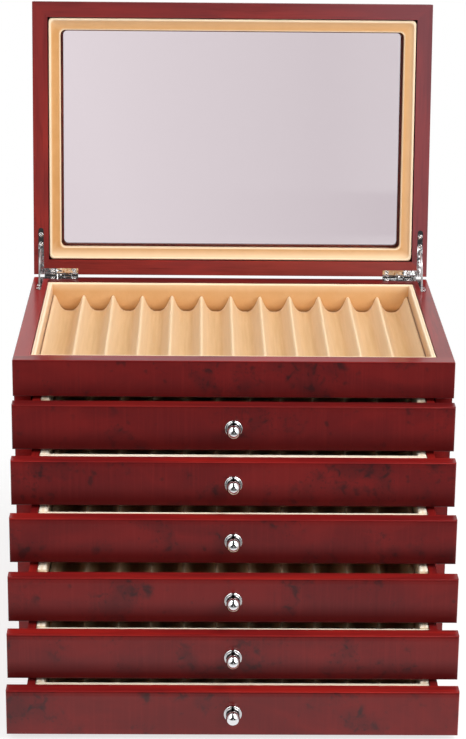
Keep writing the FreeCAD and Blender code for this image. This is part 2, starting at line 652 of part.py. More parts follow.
def make_lid(cuts):
    frame = lid_frame(cuts)
    front, back, right = mitre_wedges(0)
    side = frame.common(right)
    glass_x = INNER_HALF - GLASS_SLACK
    glass_z = LID_TOP - LIP_THICKNESS - GLASS_THICKNESS
    glass = block(-glass_x, glass_x, TOP_FRONT_Y + GLASS_SLACK, TOP_BACK_Y - GLASS_SLACK,
                  glass_z, glass_z + GLASS_THICKNESS)
    plate = hinge_plate(False)
    closed = {
        "lid_front_rail": [frame.common(front)],
        "lid_back_rail": [frame.common(back)],
        "lid_side_rails": [side, mirrored(side)],
        "lid_glass": [glass],
        "lid_lining": lid_lining(),
        "lid_hinge_plate_right": [plate],
        "lid_hinge_plate_left": [mirrored(plate)],
        "lid_hinge_screws": both_sides(hinge_screws(LID_RIM, -1)),
    }
    for name, solids in closed.items():
        save(name, [about_hinge(solid, LID_OPEN_ANGLE) for solid in solids])


def make_hinges():
    """Body plates with their pins, body screws and the two stays."""
    plate = hinge_plate(True)
    pin = barrel_piece((BARREL_INNER_X, BARREL_OUTER_X), PIN_RADIUS, 0)
    save("body_hinge_right", [plate, pin])
    save("body_hinge_left", [mirrored(plate), mirrored(pin)])
    save("body_hinge_screws", both_sides(hinge_screws(RIM, 1)))
    save("lid_stay_right", [stay()])
    save("lid_stay_left", [mirrored(stay())])


def main():
    os.makedirs("parts", exist_ok=True)
    make_case(hinge_cuts(RIM, 1))
    make_top_compartment()
    for index in range(DRAWER_COUNT):
        make_drawer(index)
    make_lid(hinge_cuts(LID_RIM, -1))
    make_hinges()


main()
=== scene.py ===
"""Looks of the pen collector chest: lacquered burl wood, suede trays and linings, glass and chrome.

Everything is in metres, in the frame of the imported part. The CAD nodes that keep their shape get
materials here. The padded linings, the trays, the felt and the screw heads are pieces of their own
that stand in for their CAD nodes.
"""

import math

import bpy
import numpy as np
from mathutils import Matrix, Vector, noise

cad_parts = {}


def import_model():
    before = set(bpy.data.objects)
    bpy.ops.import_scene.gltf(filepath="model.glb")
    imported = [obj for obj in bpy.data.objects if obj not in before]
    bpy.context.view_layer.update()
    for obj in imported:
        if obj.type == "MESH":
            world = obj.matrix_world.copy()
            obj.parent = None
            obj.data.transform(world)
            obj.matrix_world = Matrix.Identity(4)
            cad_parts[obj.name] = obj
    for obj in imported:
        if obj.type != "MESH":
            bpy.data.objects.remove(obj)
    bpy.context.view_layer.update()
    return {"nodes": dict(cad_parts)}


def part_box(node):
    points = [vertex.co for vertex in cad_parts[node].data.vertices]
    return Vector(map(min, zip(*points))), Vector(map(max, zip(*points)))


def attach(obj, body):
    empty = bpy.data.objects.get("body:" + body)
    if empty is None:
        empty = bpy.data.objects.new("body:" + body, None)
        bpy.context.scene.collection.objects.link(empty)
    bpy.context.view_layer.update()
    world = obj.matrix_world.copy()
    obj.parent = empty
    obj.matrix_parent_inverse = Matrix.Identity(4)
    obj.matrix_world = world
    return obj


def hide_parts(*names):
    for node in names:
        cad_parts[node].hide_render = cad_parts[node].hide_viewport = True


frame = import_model()
NODES = frame["nodes"]
MM = 0.001

# ---- places on the chest at rest, with its lid open ---------------------------------------------
HINGE_AXIS = Vector((0, 0.1145, 0.2564))
LID_ANGLE = math.radians(97.9)
RIM = 256.1 * MM
LID_GAP = 0.6 * MM           # between the rims of the case and the shut lid
LEAF_FOOT = 262.5 * MM       # lower end of the hinge leaves on the lid
LEAF_INNER_END = (144.0 * MM, 146.0 * MM)    # from the chest's middle: leans fully, lies flat
LEAF_BEND = 283.0 * MM       # height from which the leaves are bent back
LEAF_BEND_SLOPE = 0.14
PANEL_FRONT_END = (-112.0 * MM, -100.0 * MM)    # where painted shade darkens the side panels toward the front


# ---- material building --------------------------------------------------------------------------
def rgb(red, green, blue):
    """Opaque colour."""
    return (red, green, blue, 1.0)


class Graph:
    """Shader nodes under construction."""

    def __init__(self, tree):
        self.tree = tree
        self.tree.nodes.clear()

    def add(self, kind, settings=None, **inputs):
        """New node; its inputs go by their names, or by i and their number."""
        node = self.tree.nodes.new("ShaderNode" + kind)
        for name, value in (settings or {}).items():
            setattr(node, name, value)
        for name, value in inputs.items():
            self.feed(node, name, value)
        return node

    def feed(self, node, name, value):
        """Link a socket to an input, or set the input."""
        key = int(name[1:]) if name[0] == "i" and name[1:].isdigit() else name.replace("_", " ")
        socket = node.inputs[key]
        if isinstance(value, bpy.types.NodeSocket):
            self.tree.links.new(value, socket)
        else:
            socket.default_value = value

    def coords(self, scale=(1, 1, 1), shift=(0, 0, 0), tilt=0.0):
        """Place on the object, turned about X by the tilt and then stretched and shifted.

        The shifts have no meaning of their own: they only set two patterns apart."""
        source = self.add("TexCoord").outputs["Object"]
        if tilt:
            source = self.add("Mapping", Vector=source, Rotation=(tilt, 0, 0)).outputs["Vector"]
        return self.add("Mapping", Vector=source, Scale=scale, Location=shift).outputs["Vector"]

    def along(self, axis, source="Object"):
        """One coordinate, of the place on the object or of another source."""
        return self.add("SeparateXYZ", Vector=self.add("TexCoord").outputs[source]).outputs[axis]

    def noise(self, vector, scale=1.0, detail=2.0, rough=0.5, warp=0.0):
        """Soft random pattern between 0 and 1; the scale is in spots per metre."""
        return self.add("TexNoise", Vector=vector, Scale=scale, Detail=detail, Roughness=rough,
                        Distortion=warp).outputs["Fac"]

    def ramp(self, value, low, high, bottom=0.0, top=1.0, smooth=True):
        """Bottom up to the low value, top from the high value on."""
        return self.add("MapRange", {"interpolation_type": "SMOOTHSTEP" if smooth else "LINEAR"},
                        Value=value, From_Min=low, From_Max=high, To_Min=bottom,
                        To_Max=top).outputs["Result"]

    def math(self, how, a, b=0.0):
        """Result of one arithmetic node."""
        return self.add("Math", {"operation": how}, i0=a, i1=b).outputs[0]

    def times(self, a, b):
        return self.math("MULTIPLY", a, b)

    def minus(self, a, b):
        return self.math("SUBTRACT", a, b)

    def mix(self, amount, a, b):
        """Colour a where the amount is 0, b where it is 1."""
        return self.add("MixRGB", Fac=amount, Color1=a, Color2=b).outputs["Color"]

    def bump(self, height, distance, strength=1.0, under=None):
        """Normal of a relief so many metres high, laid over the one under it."""
        node = self.add("Bump", Height=height, Distance=distance, Strength=strength)
        if under is not None:
            self.feed(node, "Normal", under)
        return node.outputs["Normal"]

    def any_ray(self, *kinds):
        """1 for rays of the kinds named, 0 for others."""
        path = self.add("LightPath")
        value = path.outputs[kinds[0]]
        for kind in kinds[1:]:
            value = self.math("MAXIMUM", value, path.outputs[kind])
        return value

    def blend(self, amount, first, second):
        """First shader where the amount is 0, second where it is 1."""
        return self.add("MixShader", i0=amount, i1=first.outputs[0], i2=second.outputs[0])


class Shader(Graph):
    """A node material under construction."""

    def __init__(self, name):
        self.material = bpy.data.materials.new(name)
        self.material.use_nodes = True
        super().__init__(self.material.node_tree)

    def finish(self, shader):
        """The material, with the shader as its surface."""
        self.add("OutputMaterial", Surface=shader.outputs[0])
        return self.material

    def surface(self, **inputs):
        """The material, with a principled surface of these inputs."""
        return self.finish(self.add("BsdfPrincipled", **inputs))


# ---- wood ---------------------------------------------------------------------------------------
# each stain is a dark and a light tone, between which the wood's broad clouds vary; the rear rim's
# and the first drawer's ledge tones are darkened as painted shade
CASE_STAIN = (rgb(0.178, 0.0080, 0.0085), rgb(0.300, 0.0125, 0.0095))
# the case's tones darkened, as painted shade on the rear rim under the open lid
REAR_PAINTED_SHADE = (rgb(0.100, 0.0060, 0.0065), rgb(0.165, 0.0085, 0.0075))
# the case's tones darkened, as painted shade on the first drawer's upper edge under the front rail
FIRST_LEDGE_PAINTED_SHADE = (rgb(0.125, 0.0080, 0.0090), rgb(0.205, 0.0110, 0.0095))
LID_STAIN = (rgb(0.205, 0.0225, 0.0215), rgb(0.335, 0.0285, 0.0215))
EDGE_SHADE_TONE = rgb(0.048, 0.0030, 0.0030)       # painted shade on the lower edge and the upper arris of a front
COOL_TONE = rgb(0.145, 0.0620, 0.0850)       # of the lid's right side
COAT = 0.80                                  # weight of the full lacquer
PORE_DEPTH = 0.02 * MM
SWELL_DEPTH = 0.12 * MM


def grain_scale(grain, lengthwise, across):
    """Stretch of a texture whose figure runs along one axis."""
    return tuple(lengthwise if axis == grain else across for axis in "xyz")


def wood_colour(s, grain, tilt=0.0, stain=CASE_STAIN):
    """Red-brown stained wood whose figure runs along one axis."""
    streaks = s.noise(s.coords(grain_scale(grain, 9, 150), tilt=tilt), detail=4.0, rough=0.6)
    fine = s.noise(s.coords(grain_scale(grain, 30, 800), (3, 1, 2), tilt), rough=0.6)
    broad = s.noise(s.coords(grain_scale(grain, 6, 48), (7, 5, 3), tilt), detail=4.0, rough=0.6,
                    warp=0.4)
    tone = s.mix(s.ramp(broad, 0.36, 0.66), *stain)
    tone = s.mix(s.ramp(streaks, 0.48, 0.72, 0.0, 0.55), tone, rgb(0.085, 0.0060, 0.0075))
    return s.mix(s.ramp(fine, 0.52, 0.74, 0.0, 0.35), tone, rgb(0.07, 0.0060, 0.0070))


def burl_colour(s):
    """Burl veneer: groups of soft dark eyes over a clouded ground with faint upright streaks."""
    ground = s.noise(s.coords((14, 14, 26), (1, 4, 2)), detail=4.0, rough=0.6, warp=0.6)
    tone = s.mix(s.ramp(ground, 0.34, 0.68), rgb(0.126, 0.0052, 0.0058),
                 rgb(0.172, 0.0070, 0.0066))
    upright = s.noise(s.coords((420, 420, 14)), detail=3.0, rough=0.6)
    tone = s.mix(s.ramp(upright, 0.46, 0.74, 0.0, 0.22), tone, rgb(0.230, 0.014, 0.012))
    dark_upright = s.noise(s.coords((330, 330, 12), (5, 5, 5)), detail=3.0, rough=0.6)
    tone = s.mix(s.ramp(dark_upright, 0.56, 0.78, 0.0, 0.25), tone, rgb(0.065, 0.004, 0.004))
    cluster = s.noise(s.coords(shift=(3, 1, 8)), 30.0, warp=0.2)
    veil = s.ramp(cluster, 0.53, 0.74, 0.0, 0.50)
    tone = s.mix(veil, tone, rgb(0.050, 0.0060, 0.0070))
    eyes = s.ramp(s.noise(s.coords(shift=(9, 2, 4)), 125.0, warp=0.4), 0.50, 0.74)
    near_cluster = s.ramp(cluster, 0.48, 0.64, 0.0, 0.85)
    tone = s.mix(s.times(eyes, near_cluster), tone, rgb(0.026, 0.0070, 0.0080))
    specks = s.ramp(s.noise(s.coords(shift=(4, 8, 6)), 420.0), 0.56, 0.74, 0.0, 0.5)
    by_eye = s.ramp(cluster, 0.47, 0.60)
    tone = s.mix(s.times(specks, by_eye), tone, rgb(0.040, 0.0055, 0.0065))
    lone = s.ramp(s.noise(s.coords(shift=(2, 7, 1)), 120.0, detail=1.0), 0.68, 0.82, 0.0, 0.6)
    return s.mix(lone, tone, rgb(0.028, 0.0065, 0.0075))


def veneered(s, tone, lower_shade=0.0, edge_coat=1.0):
    """Burl on the face that looks to the front.

    Toward the lower edge, by the lower shade, and along the upper arris, the colour is darkened as
    painted shade, and the coat weight is lower there. The upper edge has its own share of the
    lacquer."""
    facing = s.ramp(s.along("Y", "Normal"), -0.92, -0.80, 1.0, 0.0)
    tone = s.mix(facing, tone, burl_colour(s))
    level = s.along("Z", "Generated")
    # painted shade: the colour darkens toward the lower edge
    tone = s.mix(s.ramp(level, 0.05, 0.60, lower_shade, 0.0), tone, EDGE_SHADE_TONE)
    # painted shade along the upper arris
    arris = s.times(facing, s.ramp(level, 0.950, 0.965))
    tone = s.mix(s.times(arris, 0.25), tone, EDGE_SHADE_TONE)
    coat = s.times(s.ramp(level, 0.17, 0.47, COAT * (1 - lower_shade), COAT),
                   s.ramp(level, 0.87, 0.91, 1.0, edge_coat))
    return tone, s.times(coat, s.minus(1.0, arris))


def side_panel(s, tone):
    """The left panel is redder and the right one darker; both have painted shade at their front
    ends.
    """
    on_right = s.ramp(s.along("X"), -0.01, 0.01)
    own = s.mix(on_right, rgb(0.440, 0.0100, 0.0095), rgb(0.120, 0.0060, 0.0060))
    tone = s.mix(s.ramp(on_right, 0.0, 1.0, 0.32, 0.20), tone, own)
    # painted shade on the panels' front ends, between the drawers
    front_end = s.ramp(s.along("Y"), *PANEL_FRONT_END, 0.55, 0.0)
    tone = s.mix(front_end, tone, rgb(0.040, 0.0040, 0.0045))
    return tone, s.ramp(on_right, 0.0, 1.0, 0.745, 0.67)


def lid_rail(s, tone):
    """Darker toward the lid's upper end, cooler toward its right."""
    tone = s.mix(s.ramp(s.along("Z"), 0.36, 0.475, 0.0, 0.42), tone, rgb(0.110, 0.0200, 0.0240))
    return s.mix(s.ramp(s.along("X"), 0.02, 0.165, 0.0, 0.34), tone, COOL_TONE), COAT


def lid_lower_rail(s, tone):
    """Darker on its left, redder and only a little cooler on its right."""
    aside = s.along("X")
    tone = s.mix(s.ramp(aside, 0.02, 0.165, 0.0, 0.18), tone, COOL_TONE)
    tone = s.mix(s.ramp(aside, -0.15, -0.03, 0.50, 0.0), tone, rgb(0.120, 0.0140, 0.0110))
    return s.mix(s.ramp(aside, -0.04, 0.04, 0.0, 0.36), tone, rgb(0.345, 0.0390, 0.0180)), COAT


def lacquered(name, grain, stain=CASE_STAIN, local=None, tilt=0.0, **shares):
    """Glossy lacquer over stained wood; local varies the tone and the coat over the board."""
    s = Shader(name)
    tone, coat = wood_colour(s, grain, tilt, stain), COAT
    if local:
        tone, coat = local(s, tone, **shares)
    pores = s.noise(s.coords(grain_scale(grain, 60, 900), tilt=tilt), rough=0.7)
    swell = s.noise(s.coords(), 55.0)
    normal = s.bump(swell, SWELL_DEPTH, 0.35, s.bump(pores, PORE_DEPTH, 0.25))
    return s.surface(Base_Color=tone, Roughness=0.40, Specular_IOR_Level=0.10, Coat_Weight=coat,
                     Coat_Roughness=0.19, Coat_IOR=1.42, Normal=normal)


def board():
    """Thin stained boards without the glossy coat."""
    s = Shader("stained_board")
    pores = s.noise(s.coords(grain_scale("x", 60, 900)), rough=0.7)
    return s.surface(Base_Color=wood_colour(s, "x"), Roughness=0.55, Specular_IOR_Level=0.35,
                     Normal=s.bump(pores, 2 * PORE_DEPTH, 0.4))


# ---- cloth, metal and glass ---------------------------------------------------------------------
def suede(name, brushed, tones, pale):
    """Short-napped cream cloth: a fine speckle, and a painted highlight on edges and crests."""
    s = Shader(name)
    clouds = s.noise(s.coords(brushed), detail=3.0, rough=0.6)
    nap = s.noise(s.coords(), 1500.0, rough=0.7)
    tone = s.mix(s.ramp(clouds, 0.32, 0.70), rgb(*tones[0]), rgb(*tones[1]))
    tone = s.mix(s.ramp(nap, 0.35, 0.70, 0.0, 0.20), tone, rgb(*tones[2]))
    # painted highlight: toward the pale tone where the mesh marks edges and crests that catch the
    # light
    painted_highlight = s.add("Attribute", {"attribute_name": "painted_highlight"}).outputs["Fac"]
    tone = s.mix(painted_highlight, tone, rgb(*pale))
    return s.surface(Base_Color=tone, Roughness=0.95, Specular_IOR_Level=0.1, Sheen_Weight=0.5,
                     Sheen_Roughness=0.45, Sheen_Tint=rgb(1.0, 0.93, 0.82),
                     Normal=s.bump(nap, 0.08 * MM, 0.5))


def felt():
    """Black felt with a coarse, fibrous surface."""
    s = Shader("black_felt")
    fibre = s.noise(s.coords(), 900.0, detail=4.0, rough=0.7)
    tone = s.mix(fibre, rgb(0.010, 0.009, 0.009), rgb(0.030, 0.026, 0.026))
    return s.surface(Base_Color=tone, Roughness=0.95, Specular_IOR_Level=0.1, Sheen_Weight=0.3,
                     Normal=s.bump(fibre, 0.2 * MM, 0.8))


def leaf_rise(s, lean):
    """Height over its plane of a hinge leaf on the lid.

    Its inner end leans, and its upper end is bent back."""
    height = s.along("Z")
    inner_end = s.ramp(s.math("ABSOLUTE", s.along("X")), *LEAF_INNER_END, lean, 0.0)
    upper_end = s.math("MAXIMUM", s.minus(height, LEAF_BEND), 0.0)
    return s.minus(s.times(s.minus(height, LEAF_FOOT), inner_end),
                   s.times(upper_end, LEAF_BEND_SLOPE))


def chrome(name, wave, dark=(0.74, 0.74, 0.76), rough=0.05, lean=0.0, painted_hollow_shade=None):
    """Bright plating; pressed hinge leaves are wavy, turned knobs are not.

    The recess behind a knob's ball is darkened as painted shade. It is given by the shares of the
    knob's depth at which it begins, is darkest, is no longer darkest and ends."""
    s = Shader(name)
    cloud = s.noise(s.coords(), 420.0, detail=3.0, rough=0.6)
    tone = s.mix(cloud, rgb(*dark), rgb(0.88, 0.88, 0.89))
    normal = s.bump(s.noise(s.coords(), 200.0, detail=1.0), wave)
    if painted_hollow_shade:
        # painted shade in the recess behind the ball
        depth = s.along("Y", "Generated")
        inside = s.times(s.ramp(depth, *painted_hollow_shade[:2]), s.ramp(depth, *painted_hollow_shade[2:], 1.0, 0.0))
        tone = s.mix(inside, tone, rgb(0.012, 0.010, 0.010))
    if lean:
        normal = s.bump(leaf_rise(s, lean), 1.0, under=normal)
    return s.surface(Base_Color=tone, Metallic=1.0, Normal=normal,
                     Roughness=s.ramp(cloud, 0.3, 0.7, rough, rough + 0.06))


def glass():
    """Faintly grey pane, a little lighter on its left and toward its upper end, as a painted
    reflection.
    """
    s = Shader("clear_pane")
    # painted reflection: the tint darkens toward the right and the lower end
    to_right = s.ramp(s.along("X"), -0.15, 0.13, smooth=False)
    downwards = s.ramp(s.along("Z"), 0.48, 0.28, 0.0, 0.22, smooth=False)
    tone = s.mix(s.math("MAXIMUM", to_right, downwards), rgb(0.780, 0.695, 0.735),
                 rgb(0.610, 0.535, 0.570))
    return s.surface(Base_Color=tone, Roughness=0.02, IOR=1.45, Transmission_Weight=1.0)


# ---- looks of the CAD nodes ---------------------------------------------------------------------
EVEN_CLOTH = (70, 70, 70)
SMOOTH = 0.01 * MM           # waviness of turned and drawn metal
PRESSED = 0.45 * MM

WOOD_X = lacquered("lacquer_grain_x", "x")
WOOD_Y = lacquered("lacquer_grain_y", "y")
SIDE_WOOD = lacquered("lacquer_side_panels", "y", local=side_panel)
REAR_WOOD = lacquered("lacquer_rear_rim", "x", REAR_PAINTED_SHADE)
LID_WOOD_X = lacquered("lacquer_lid_x", "x", LID_STAIN, lid_rail)
LID_LOW_WOOD = lacquered("lacquer_lid_low_rail", "x", LID_STAIN, lid_lower_rail)
LID_WOOD_Z = lacquered("lacquer_lid_z", "z", LID_STAIN, lid_rail, LID_ANGLE - math.pi / 2)
RAIL_BURL = lacquered("lacquer_burl_rail", "x", local=veneered, lower_shade=0.35)
DRAWER_BURL = lacquered("lacquer_burl_drawer", "x", local=veneered, lower_shade=0.70,
                        edge_coat=0.55)
# the first drawer's front, its upper edge darkened as painted shade
FIRST_BURL = lacquered("lacquer_burl_first", "x", FIRST_LEDGE_PAINTED_SHADE, veneered, lower_shade=0.70,
                       edge_coat=0.75)
LOWEST_BURL = lacquered("lacquer_burl_lowest", "x", local=veneered, edge_coat=0.55)
BOARD = board()
SUEDE = suede("lining_suede", EVEN_CLOTH,
              ((0.715, 0.425, 0.195), (0.745, 0.460, 0.225), (0.62, 0.35, 0.15)),
              (0.96, 0.80, 0.58))
# a darker, more orange copy of the lining suede: painted shade on the lid's frame
LID_SUEDE = suede("lid_suede", EVEN_CLOTH,
                  ((0.635, 0.330, 0.122), (0.670, 0.358, 0.142), (0.55, 0.27, 0.10)),
                  (0.96, 0.80, 0.58))
TRAY_SUEDE = suede("tray_suede", (420, 20, 420),
                   ((0.66, 0.420, 0.195), (0.73, 0.485, 0.250), (0.58, 0.34, 0.15)),
                   (0.93, 0.72, 0.47))
# a paler copy of the lining suede: painted light on the strips inside the shaded drawers
DRAWER_SUEDE = suede("drawer_suede", EVEN_CLOTH,
                     ((0.80, 0.60, 0.38), (0.84, 0.66, 0.44), (0.72, 0.50, 0.30)),
                     (1.0, 0.92, 0.78))
FELT = felt()
KNOB_CHROME = chrome("turned_chrome_knob", SMOOTH, painted_hollow_shade=(0.33, 0.35, 0.465, 0.495))
HINGE_CHROME = chrome("pressed_chrome", PRESSED)
LEAF_CHROME = chrome("pressed_chrome_lid", PRESSED, lean=0.07)
STAY_METAL = chrome("drawn_wire", SMOOTH, rough=0.30)
SCREW_METAL = chrome("nickel_screws", SMOOTH, (0.62, 0.60, 0.58), 0.16)
GLASS = glass()

# by the start of a node's name
LOOKS = {
    "side_panel": SIDE_WOOD, "top_front_rail": RAIL_BURL, "top_back_rail": REAR_WOOD,
    "back_panel": WOOD_X, "base_panel": BOARD, "drawer_shelves": BOARD,
    "compartment_floor": BOARD, "body_hinge": HINGE_CHROME, "lid_front_rail": LID_WOOD_X,
    "lid_back_rail": LID_LOW_WOOD, "lid_side_rails": LID_WOOD_Z, "lid_glass": GLASS,
    "lid_hinge": LEAF_CHROME, "lid_stay": STAY_METAL, "drawer_1_front": FIRST_BURL,
    "drawer_6_front": LOWEST_BURL,
}
# by what follows a drawer's number in a node's name
DRAWER_LOOKS = {"front": DRAWER_BURL, "knob": KNOB_CHROME, "walls": WOOD_Y, "bottom": BOARD}


def look_of(name):
    """Look of a CAD node, or None for a node that a piece of its own stands in for."""
    for start, look in LOOKS.items():
        if name.startswith(start):
            return look
    if name.startswith("drawer_"):
        return DRAWER_LOOKS.get(name.split("_", 2)[2])
    return None


for name, node in NODES.items():
    look = look_of(name)
    if look is not None:
        node.data.materials.clear()
        node.data.materials.append(look)


# ---- mesh helpers -------------------------------------------------------------------------------
def mesh_piece(name, points, faces, look, painted_highlight=None):
    """New object; painted_highlight says for each point how much painted highlight its cloth has.
    """
    mesh = bpy.data.meshes.new(name)
    mesh.from_pydata([tuple(p) for p in points], [], faces)
    if painted_highlight is not None:
        mesh.attributes.new("painted_highlight", "FLOAT", "POINT").data.foreach_set("value", painted_highlight)
    mesh.materials.append(look)
    mesh.shade_smooth()
    piece = bpy.data.objects.new(name, mesh)
    bpy.context.scene.collection.objects.link(piece)
    return piece


def grid_faces(rows, columns, closed=True):
    """Quads between rows of points; closed rows are rings."""
    faces = []
    for i in range(rows - 1):
        for j in range(columns if closed else columns - 1):
            a = i * columns + j
            b = i * columns + (j + 1) % columns
            faces.append((a, b, b + columns, a + columns))
    return faces


def ring_loft(rings):
    """Closed skin over a list of rings of points, with a flat face over each end."""
    columns = len(rings[0])
    points = [p for ring in rings for p in ring]
    faces = grid_faces(len(rings), columns)
    faces.append(tuple(reversed(range(columns))))
    faces.append(tuple(range(len(points) - columns, len(points))))
    return points, faces


def gathered(parts):
    """Points, faces and marks of several closed skins as one mesh."""
    points, faces, marks = [], [], []
    for some_points, some_faces, some_marks in parts:
        start = len(points)
        points += some_points
        faces += [tuple(start + k for k in face) for face in some_faces]
        marks += some_marks
    return points, faces, marks


def rounded_rectangle(half_x, half_y, radius):
    """Level outline with round corners, anticlockwise from the middle of the right side."""
    steps = 7
    outline = []
    for sx, sy, start in ((1, 1, 0), (-1, 1, 90), (-1, -1, 180), (1, -1, 270)):
        for k in range(steps + 1):
            turn = math.radians(start + 90 * k / steps)
            outline.append((sx * (half_x - radius) + radius * math.cos(turn),
                            sy * (half_y - radius) + radius * math.sin(turn)))
    return outline


def cuts_of(outline, step):
    """Into how many parts each side of a closed outline is cut."""
    return [max(1, int(math.dist(a, b) / step)) for a, b in zip(outline, outline[1:] + outline[:1])]


def subdivided(outline, cuts):
    """The closed outline with each side cut into equal parts."""
    return [Vector(a).lerp(Vector(b), j / count)
            for a, b, count in zip(outline, outline[1:] + outline[:1], cuts) for j in range(count)]


def about_hinge(angle):
    """Turn about the axis of the hinge pins; a positive angle shuts the lid."""
    return (Matrix.Translation(HINGE_AXIS) @ Matrix.Rotation(angle, 4, "X")
            @ Matrix.Translation(-HINGE_AXIS))


# ---- padded strips ------------------------------------------------------------------------------
ARC_STEPS = 5
UNDER_RADIUS = 0.4           # share of a strip's edge radius that its lower edges have
END_STATIONS = (0.0, 0.12, 0.35, 0.7, 1.0)    # sections over a rounded end, in radii from its tip
STATION_STEP = 6 * MM
END_NARROWING = 0.6          # a strip's end is rounded less in its width than in its height
STRIP_WANDER = 0.10 * MM
WANDER_SCALES = (60, 200, 200)    # along a strip, across it and up
EDGE_MARKS = (0.35, 0.65)    # painted highlight at the foot of a rounded edge, and its growth
TOP_MARKS = (0.75, 0.30, 0.75)    # painted highlight at the quarters of the top
UPRIGHT_PARTS = 4


def strip_profile(width, height, radius, crown):
    """Section of a card strip wrapped in suede: x across it, z up, and how much painted highlight
    the cloth has.

    The crown is how far its sides and its top stand out in their middles."""
    small = radius * UNDER_RADIUS
    points = [(small, 0.0, 0.0), (0.0, small, 0.0)]
    upright = [small + (height - radius - small) * k / UPRIGHT_PARTS
               for k in range(1, UPRIGHT_PARTS)]
    points += [(0.0, z, 0.0) for z in upright]

    def arc(cx, start, end):
        least, growth = EDGE_MARKS
        for k in range(ARC_STEPS + 1):
            turn = math.radians(start + (end - start) * k / ARC_STEPS)
            mark = least + growth * math.sin(turn)
            points.append((cx + radius * math.cos(turn), height - radius + radius * math.sin(turn),
                           mark))

    arc(radius, 180, 90)
    parts = len(TOP_MARKS) + 1
    points += [(radius + (width - 2 * radius) * k / parts, height, mark)
               for k, mark in enumerate(TOP_MARKS, 1)]
    arc(width - radius, 90, 0)
    points += [(width, z, 0.0) for z in reversed(upright)]
    points += [(width, small, 0.0), (width - small, 0.0, 0.0)]
    crowned = []
    for x, z, mark in points:
        u = 2 * x / width - 1
        v = 2 * z / height - 1
        pull = 1 - crown * abs(v) ** 3 / width
        lift = 1 - crown * abs(u) ** 3 / height if z > height / 2 else 1
        crowned.append(((u * pull + 1) * width / 2, z * lift, mark))
    return crowned


def padded_strip(low, high, radius, crown, seed):
    """One strip between two corners, along its longer level side, with rounded ends.

    Its seed sets its wander apart from that of the other strips."""
    along = 0 if high.x - low.x > high.y - low.y else 1
    across = 1 - along
    length = high[along] - low[along]
    width = high[across] - low[across]
    section = strip_profile(width, high.z - low.z, radius, crown)
    ends = [radius * share for share in END_STATIONS]
    count = max(6, int(length / STATION_STEP))
    middle = [radius + (length - 2 * radius) * k / count for k in range(1, count)]
    by_place, by_x, by_z = WANDER_SCALES
    rings, marks = [], []
    for place in ends + middle + [length - e for e in reversed(ends)]:
        t = min(1.0, min(place, length - place) / radius)
        inset = radius * (1 - math.sqrt(1 - (1 - t) ** 2))
        narrowing = inset * END_NARROWING
        ring = []
        for x, z, mark in section:
            spot = Vector((place * by_place, x * by_x + seed, z * by_z))
            wander = noise.noise(spot) * STRIP_WANDER
            point = Vector((0, 0, low.z + min(z, high.z - low.z - inset)))
            point.z += wander if z > radius else 0
            point[along] = low[along] + place
            point[across] = low[across] + min(max(x, narrowing), width - narrowing)
            ring.append(point)
            marks.append(mark)
        if along == 1:    # so that the faces look outwards
            ring.reverse()
            marks[-len(ring):] = reversed(marks[-len(ring):])
        rings.append(ring)
    return ring_loft(rings) + (marks,)


def lining_piece(node, name, body, look, thickness, front_drop, radius, crown):
    """Four strips round the inside of a box; the front and back ones are full length.

    The front one is lower than the others by its drop."""
    low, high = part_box(node)
    y_front = low.y + thickness
    y_back = high.y - thickness
    boxes = [
        (low, Vector((high.x, y_front, high.z - front_drop))),
        (Vector((low.x, y_back, low.z)), high),
        (Vector((low.x, y_front, low.z)), Vector((low.x + thickness, y_back, high.z))),
        (Vector((high.x - thickness, y_front, low.z)), Vector((high.x, y_back, high.z))),
    ]
    points, faces, marks = gathered(padded_strip(*box, radius, crown, seed=7.0 * k)
                                    for k, box in enumerate(boxes))
    piece = mesh_piece(name, points, faces, look, marks)
    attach(piece, body)
    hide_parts(node)


# ---- grooved trays ------------------------------------------------------------------------------
GROOVE_PITCH = 24.45 * MM
RIDGE_WIDTH = 3.6 * MM       # of the rounded crests between the half-round grooves in the CAD tray
GROOVE_DEPTH = RIDGE_WIDTH / 2 + 0.7 * MM + (GROOVE_PITCH - RIDGE_WIDTH) / 2
GROOVE_POWER = 2.8           # of the curve that a groove's walls follow
CREST_HALF_WIDTH = 2.1 * MM
GROOVE_STEPS = 22            # from a groove's bottom to its crest
STEP_CROWDING = 1.3          # above 1, the steps crowd toward the crests
LEAST_STEP = 0.02 * MM
TRAY_EDGE_RADIUS = 0.6 * MM
TRAY_ROLL = 0.8 * MM         # length over which a tray's ends are rolled down
TRAY_STATIONS = 26
UNDER_STEPS = 12
END_GAPE = 1.2 * MM          # how far a groove's bottom stops short of the tray's end
CREST_SWAY = 0.25 * MM       # how far the crests wander sideways
SWAY_SCALES = (70, 14, 500)  # across the trays, along them, and from one tray to the next
SWAY_FOOT = 0.3              # share of the height above which the crests wander
SWAY_MARGIN = 4 * MM         # beside a tray's edges, where they wander less
UPPER_WANDER = (0.22 * MM, 0.12 * MM)    # how far the surface wavers, and lies below the CAD box
UPPER_SCALES = (45, 22, 900)
CREST_FADE = 3.0 * MM        # depth over which a crest's painted highlight fades
LEFT_WALL_LIGHT = (0.32, 0.72)             # painted light: paleness at the crest, share of the groove it covers
RIGHT_WALL_LIGHT = (0.56, 0.66, 0.27)      # painted light: paleness, where it begins, over what share it grows


def groove_layout(width):
    """Number of grooves across a tray, and where the first one begins."""
    count = int((width - 2 * TRAY_EDGE_RADIUS) / GROOVE_PITCH)
    return count, (width - count * GROOVE_PITCH) / 2


